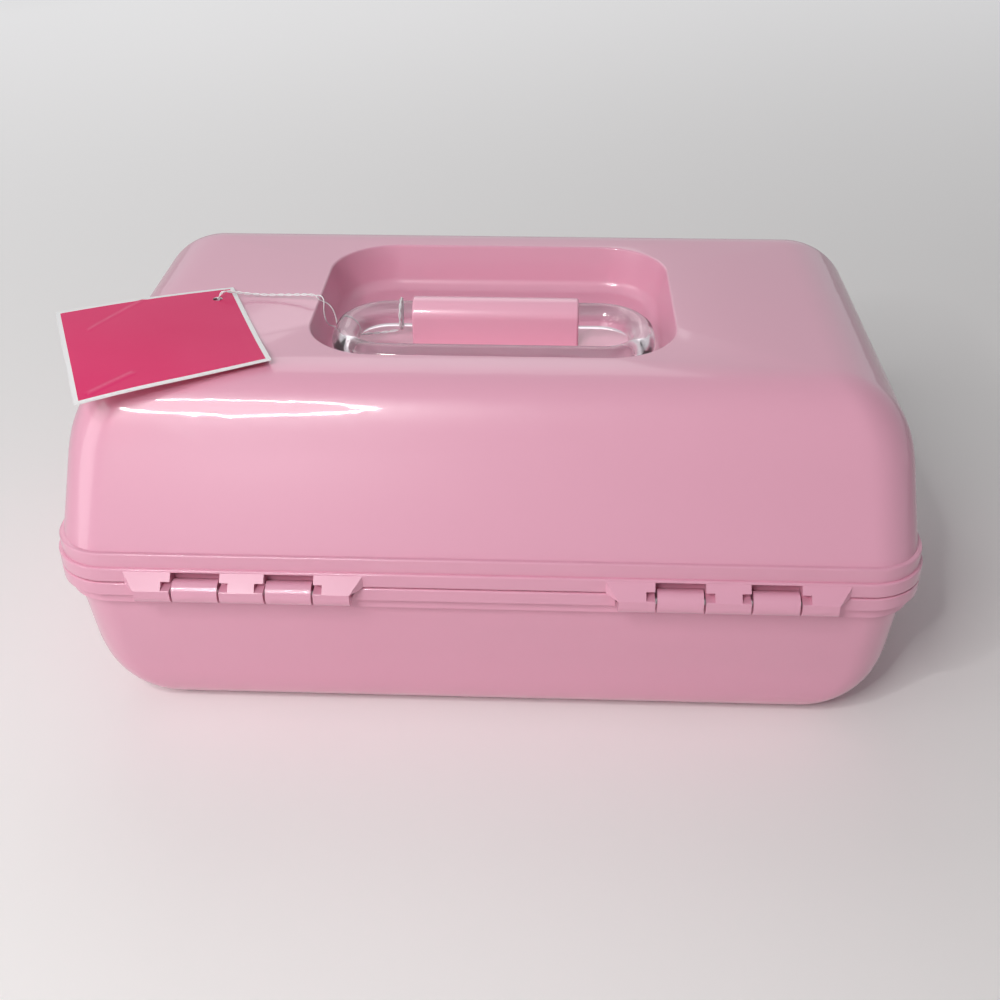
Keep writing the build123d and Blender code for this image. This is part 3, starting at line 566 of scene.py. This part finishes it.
def cardMaterial(values):
    material, tree, shader = newMaterial("tagCard")
    flat = addNode(tree, "ShaderNodeUVMap", uv_map="card")
    split = addNode(tree, "ShaderNodeSeparateXYZ", {"Vector": flat.outputs["UV"]})
    # 1 on the printed panel, 0 on the white border; the card's middle is at 0.5 both ways
    masks = []
    for axis, size in (("X", values["width"]), ("Y", values["length"])):
        away = addMath(tree, "ABSOLUTE", addMath(tree, "SUBTRACT", split.outputs[axis], 0.5))
        masks.append(addMath(tree, "LESS_THAN", away, 0.5 - values["border"] / size))
    panel = addMath(tree, "MULTIPLY", *masks)
    where = addNode(tree, "ShaderNodeTexCoord").outputs["Object"]
    drift = addNoise(tree, where, Scale=values["driftScale"], Detail=4.0)
    fibre = addNoise(tree, where, Scale=values["fibreScale"], Detail=3.0)
    fold = addNode(tree, "ShaderNodeAttribute", attribute_name="crease")
    ink = addBlend(tree, drift, opaque(values["card"]), opaque(values["cardShade"]))
    rubbed = addBlend(tree, fold.outputs["Fac"], ink, opaque(values["worn"]))
    setInputs(tree, shader, {
        "Base Color": addBlend(tree, panel, opaque(values["white"]), rubbed),
        "Roughness": addSpread(tree, drift, *values["roughness"]),
        "Normal": addBump(tree, fibre, values["fibreDepth"], values["fibreReach"]),
        "Specular IOR Level": values["specular"],
        "Coat Weight": values["coat"],
        "Coat Roughness": values["coatRoughness"],
    })
    return material


def roundedIn(x, y, values):
    # draws a square grid's corners in to the card's rounded ones
    corner = values["corner"]
    insideX, insideY = values["width"] / 2 - corner, values["length"] / 2 - corner
    overX, overY = abs(x) - insideX, abs(y) - insideY
    reach = math.hypot(overX, overY)
    if min(overX, overY) > 0 and reach > corner:
        x = math.copysign(insideX + overX * corner / reach, x)
        y = math.copysign(insideY + overY * corner / reach, y)
    return x, y


def cardRise(x, y, values):
    # the outer near corner hangs past the shoulder, and the inner near one curls up a little
    u, v = 2 * x / values["width"], 2 * y / values["length"]
    hanging = max(0.0, (u + v) / 2) ** values["droopPower"] * values["droop"]
    curling = max(0.0, (v - u) / 2 - values["curlFrom"]) ** 2 * values["curl"]
    return values["bow"] * (1 - u * u) + curling - hanging


def creasesAt(x, y, values):
    # how near a point is to the middle of each crease beside it, and that crease's depth
    found = []
    for (startX, startY), (endX, endY), depth, halfWidth in values["creases"]:
        runX, runY = endX - startX, endY - startY
        length = math.hypot(runX, runY)
        along = ((x - startX) * runX + (y - startY) * runY) / length ** 2
        away = abs((x - startX) * runY - (y - startY) * runX) / length
        if -values["creaseOverrun"] < along < 1 + values["creaseOverrun"]:
            found.append((max(0.0, 1 - away / halfWidth), depth))
    return found


def makeCardSheet(values, middle, turn):
    # the card's lower face, a bowed grid of cells
    columns, rows = values["cells"]
    bm = bmesh.new()
    flat = bm.loops.layers.uv.new("card")
    creased = bm.verts.layers.float.new("crease")
    grid = {}
    for j in range(rows + 1):
        for i in range(columns + 1):
            x = values["width"] / 2 * (2 * i / columns - 1)
            y = values["length"] / 2 * (2 * j / rows - 1)
            x, y = roundedIn(x, y, values)
            creases = creasesAt(x, y, values)
            rise = cardRise(x, y, values) + sum(nearness * depth for nearness, depth in creases)
            vertex = bm.verts.new(middle + turn @ Vector((x, y, 0)) + Vector((0, 0, rise)))
            wear = [values["creaseWear"] * nearness ** 2 for nearness, _ in creases]
            vertex[creased] = max(wear, default=0.0)
            grid[i, j] = (vertex, x, y)
    for j in range(rows):
        for i in range(columns):
            ring = [grid[i, j], grid[i + 1, j], grid[i + 1, j + 1], grid[i, j + 1]]
            face = bm.faces.new([vertex for vertex, _, _ in ring])
            face.smooth = True
            for loop, (_, x, y) in zip(face.loops, ring):
                loop[flat].uv = (x / values["width"] + 0.5, y / values["length"] + 0.5)
    return placeInScene("hangTagCard", newMesh("hangTagCard", bm))


def makePunch(values, place):
    bm = bmesh.new()
    bmesh.ops.create_cone(
        bm, cap_ends=True, segments=values["holeSides"], depth=values["punchDepth"],
        radius1=values["holeRadius"], radius2=values["holeRadius"],
        matrix=Matrix.Translation(place),
    )
    return placeInScene("punch", newMesh("punch", bm))


def applyModifiers(piece):
    graph = bpy.context.evaluated_depsgraph_get()
    piece.data = bpy.data.meshes.new_from_object(
        piece.evaluated_get(graph), preserve_all_data_layers=True, depsgraph=graph,
    )
    piece.modifiers.clear()


def makeTag(values):
    low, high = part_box("hang_tag")
    middle = (low + high) / 2
    middle.z = low.z
    turn = Matrix.Rotation(math.radians(values["turn"]), 3, "Z")
    tag = makeCardSheet(values, middle, turn)
    thick = tag.modifiers.new("cardThickness", "SOLIDIFY")
    thick.thickness = values["thickness"]
    thick.offset = 1.0
    punch = makePunch(values, middle + turn @ Vector((*values["hole"], 0)))
    cut = tag.modifiers.new("stringHole", "BOOLEAN")
    cut.object = punch
    cut.operation = "DIFFERENCE"
    cut.solver = "EXACT"
    applyModifiers(tag)
    bpy.data.objects.remove(punch)
    tag.data.materials.clear()
    tag.data.materials.append(cardMaterial(values))
    tag.data.set_sharp_from_angle(angle=math.radians(values["sharpAngle"]))
    return tag


tag = makeTag(hangTag)
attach(tag, "lid")
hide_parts("hang_tag")
print("stage: hang tag")


# string
tagString = {
    "diameter": 1.2 * mm, "length": 0.088,
    "strands": 2, "strandRadius": 0.28 * mm, "pitch": 8.0 * mm,
    "sides": 8, "step": 0.45 * mm, "fineness": 24, "sideStart": (0, 1, 0),
    # the strands lie apart round this share of the length, by up to this much, and hardly twist
    "partAt": 0.40, "partReach": 0.13, "partWidth": 2.0 * mm, "partUntwist": 0.95,
}

# from the loop round the pivot bar to the tag's hole, in millimetres
stringRoute = [
    (41.2, 0.2, 125.0), (45.6, 0.8, 124.4), (51.6, 1.9, 124.1), (58.4, 3.9, 124.5),
    (64.0, 6.2, 126.2), (66.7, 8.6, 129.8), (67.6, 10.2, 134.4), (68.8, 10.9, 139.8),
    (71.2, 10.5, 144.4), (75.4, 9.3, 144.7), (81.5, 7.2, 143.6), (91.0, 6.1, 142.8),
    (101.0, 5.7, 142.9), (107.4, 6.7, 144.2), (111.2, 8.3, 145.2), (113.1, 9.2, 144.0),
    (113.6, 9.4, 141.9),
]


def smoothLine(name, points, fineness):
    curve = bpy.data.curves.new(name, "CURVE")
    curve.dimensions = "3D"
    spline = curve.splines.new("NURBS")
    spline.points.add(len(points) - 1)
    for point, place in zip(spline.points, points):
        point.co = (*[value * mm for value in place], 1)
    spline.order_u = 3
    spline.use_endpoint_u = True
    spline.resolution_u = fineness
    holder = placeInScene(name, curve)
    graph = bpy.context.evaluated_depsgraph_get()
    mesh = bpy.data.meshes.new_from_object(holder.evaluated_get(graph))
    bpy.data.objects.remove(holder)
    return readMesh(mesh.vertices, "co", 3)


def evenly(line, step):
    # the same line in equal steps, and how far along it each point is
    lengths = np.linalg.norm(np.diff(line, axis=0), axis=1)
    reached = np.concatenate([[0], np.cumsum(lengths)])
    marks = np.linspace(0, reached[-1], int(reached[-1] / step) + 1)
    return np.stack([np.interp(marks, reached, line[:, k]) for k in range(3)], 1), marks


def squareTo(line, start):
    # two directions square to the line at each point, carried along it without twist
    tangents = np.gradient(line, axis=0)
    tangents /= np.linalg.norm(tangents, axis=1, keepdims=True)
    side = np.array(start, float)
    sides = []
    for tangent in tangents:
        side = side - side.dot(tangent) * tangent
        side /= np.linalg.norm(side)
        sides.append(side.copy())
    return np.array(sides), np.cross(tangents, sides)


def strandTwist(marks, values, closed):
    # turns made so far, and how far the strands lie apart, at each mark
    turns = marks[-1] / values["pitch"]
    if closed:
        turns = round(turns)
        parting = np.zeros(len(marks))
    else:
        away = (marks / marks[-1] - values["partAt"]) / values["partReach"]
        parting = np.clip(1 - away ** 2, 0, 1) ** 2
    twist = np.cumsum(1 - values["partUntwist"] * parting)
    return turns * (twist - twist[0]) / (twist[-1] - twist[0]), parting


def makeStrands(bm, line, marks, sides, ups, values, closed):
    # each strand is a tube whose rings are square to the line, near enough at this pitch
    twist, parting = strandTwist(marks, values, closed)
    reaches = values["diameter"] / 2 - values["strandRadius"] + parting * values["partWidth"]
    count = values["sides"]
    for strand in range(values["strands"]):
        rings = []
        for place, turned, reach, side, up in zip(line, twist, reaches, sides, ups):
            angle = 2 * math.pi * (strand / values["strands"] + turned)
            centre = place + reach * onCircle(angle, side, up)
            rims = [onCircle(2 * math.pi * k / count, side, up) for k in range(count)]
            rings.append([bm.verts.new(centre + values["strandRadius"] * rim) for rim in rims])
        if closed:
            # the last ring would lie on the first
            for vertex in rings.pop():
                bm.verts.remove(vertex)
        nextRings = rings[1:] + rings[:1] if closed else rings[1:]
        for first, second in zip(rings, nextRings):
            for k in range(count):
                following = (k + 1) % count
                corners = (first[k], first[following], second[following], second[k])
                bm.faces.new(corners).smooth = True
        if not closed:
            bm.faces.new(rings[0][::-1])
            bm.faces.new(rings[-1])


def strandPiece(name, bm):
    bmesh.ops.recalc_face_normals(bm, faces=bm.faces)
    mesh = newMesh(name, bm)
    mesh.materials.append(materials["clearString"])
    return placeInScene(name, mesh)


def makeString(values, route):
    line, marks = evenly(smoothLine("stringLine", route, values["fineness"]), values["step"])
    sides, ups = squareTo(line, values["sideStart"])
    bm = bmesh.new()
    makeStrands(bm, line, marks, sides, ups, values, closed=False)
    return strandPiece("twistedString", bm), line


def makeStringLoop(values):
    # a ring round the pivot bar, which runs along X
    low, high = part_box("string_loop")
    centre = np.array((low + high) / 2)
    radius = (high.z - low.z) / 2 - values["diameter"] / 2
    count = int(2 * math.pi * radius / values["step"])
    angles = np.linspace(0, 2 * math.pi, count + 1)
    out = np.stack([np.zeros_like(angles), np.cos(angles), np.sin(angles)], 1)
    along = np.tile([1.0, 0.0, 0.0], (len(angles), 1))
    bm = bmesh.new()
    makeStrands(bm, centre + radius * out, radius * angles, out, along, values, closed=True)
    return strandPiece("stringLoop", bm)


stringPiece, stringLine = makeString(tagString, stringRoute)
loopPiece = makeStringLoop(tagString)
for piece, node in ((stringPiece, "tag_string"), (loopPiece, "string_loop")):
    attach(piece, "lid")
    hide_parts(node)
print("stage: string")
